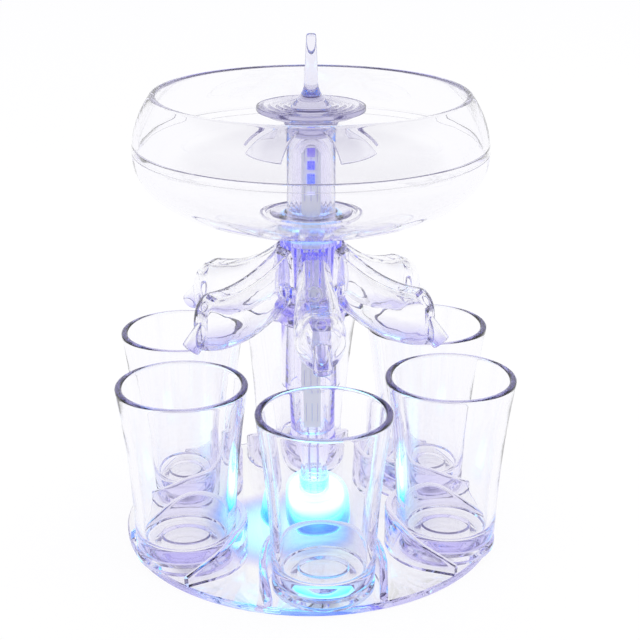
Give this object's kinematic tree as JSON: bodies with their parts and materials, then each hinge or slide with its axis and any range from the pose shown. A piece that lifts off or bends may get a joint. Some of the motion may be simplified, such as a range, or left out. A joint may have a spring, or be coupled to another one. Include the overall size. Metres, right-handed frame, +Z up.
{
  "type": "party shot dispenser",
  "caption": "Clear drink bowl with a lift-out stopper that pours through petal spouts into a ring of shot glasses, on a lit base.",
  "frame": {"origin": "middle of the base plate's underside, on the table", "axes": "+Z up along the column; -Y towards the viewer; the first glass stands at 85.4 degrees clockwise from +X"},
  "size_m": [0.1552, 0.1662, 0.1983],
  "materials": {
    "clear_tray": "polished clear moulding",
    "clear_dome": "polished clear moulding",
    "frosted": "frosted, lit from inside",
    "case_white": "fine satin moulding",
    "screw_steel": "plain zinc",
    "cell_steel": "satin nickel",
    "contact_brass": "plain sheet",
    "board_white": "white solder mask",
    "led_blue": "lit diode body",
    "switch_black": "plain moulding",
    "button_grey": "plain moulding",
    "clear_column": "polished clear moulding",
    "wire_skin": "thin insulation",
    "clear_hub": "polished clear moulding",
    "seal_silicone": "translucent silicone",
    "clear_bowl": "polished clear moulding",
    "clear_stopper": "polished clear moulding",
    "clear_spout": "polished clear moulding",
    "clear_glass": "polished clear moulding"
  },
  "bodies": {
    "base": {"base_tray": "clear_tray", "light_dome": "clear_dome", "light_diffuser": "frosted", "puck_case": "case_white", "battery_cover": "case_white", "cover_screws": "screw_steel", "button_cells": "cell_steel", "cover_contact": "contact_brass", "board_contacts": "contact_brass", "led_board": "board_white", "base_leds": "led_blue", "switch_body": "switch_black", "column_post": "clear_column", "light_tube": "clear_column", "stick_board": "board_white", "stick_leds": "led_blue", "stick_wires": "wire_skin"},
    "switch_button": {"switch_button": "button_grey"},
    "head": {"column_sleeve": "clear_column", "hub": "clear_hub", "chimney": "clear_column", "bowl_gasket": "seal_silicone", "bowl_lower": "clear_bowl", "bowl_ring": "clear_bowl", "spout_1": "clear_spout", "spout_2": "clear_spout", "spout_3": "clear_spout", "spout_4": "clear_spout", "spout_5": "clear_spout", "spout_6": "clear_spout", "spout_lid_1": "clear_spout", "spout_lid_2": "clear_spout", "spout_lid_3": "clear_spout", "spout_lid_4": "clear_spout", "spout_lid_5": "clear_spout", "spout_lid_6": "clear_spout"},
    "stopper": {"valve_seal": "seal_silicone", "valve_sleeve": "clear_stopper", "splash_guard": "clear_stopper", "stopper_cap": "clear_stopper"},
    "glass_1": {"glass_1": "clear_glass"},
    "glass_2": {"glass_2": "clear_glass"},
    "glass_3": {"glass_3": "clear_glass"},
    "glass_4": {"glass_4": "clear_glass"},
    "glass_5": {"glass_5": "clear_glass"},
    "glass_6": {"glass_6": "clear_glass"}
  },
  "joints": [
    {"name": "button_press", "type": "slide", "parent": "base", "child": "switch_button", "axis": [0, 0, 1], "range_m": [0, 0.0006], "stiffness_N_per_m": 600},
    {"name": "head_lift", "type": "slide", "parent": "base", "child": "head", "axis": [0, 0, 1], "range_m": [0, 0.11]},
    {"name": "stopper_lift", "type": "slide", "parent": "head", "child": "stopper", "axis": [0, 0, 1], "range_m": [0, 0.06]},
    {"name": "glass_1_out", "type": "slide", "parent": "base", "child": "glass_1", "axis": [0.0802, -0.9968, 0], "range_m": [0, 0.06]},
    {"name": "glass_2_out", "type": "slide", "parent": "base", "child": "glass_2", "axis": [0.9033, -0.4289, 0], "range_m": [0, 0.06]},
    {"name": "glass_3_out", "type": "slide", "parent": "base", "child": "glass_3", "axis": [0.8231, 0.5678, 0], "range_m": [0, 0.06]},
    {"name": "glass_4_out", "type": "slide", "parent": "base", "child": "glass_4", "axis": [-0.0802, 0.9968, 0], "range_m": [0, 0.06]},
    {"name": "glass_5_out", "type": "slide", "parent": "base", "child": "glass_5", "axis": [-0.9033, 0.4289, 0], "range_m": [0, 0.06]},
    {"name": "glass_6_out", "type": "slide", "parent": "base", "child": "glass_6", "axis": [-0.8231, -0.5678, 0], "range_m": [0, 0.06]}
  ]
}
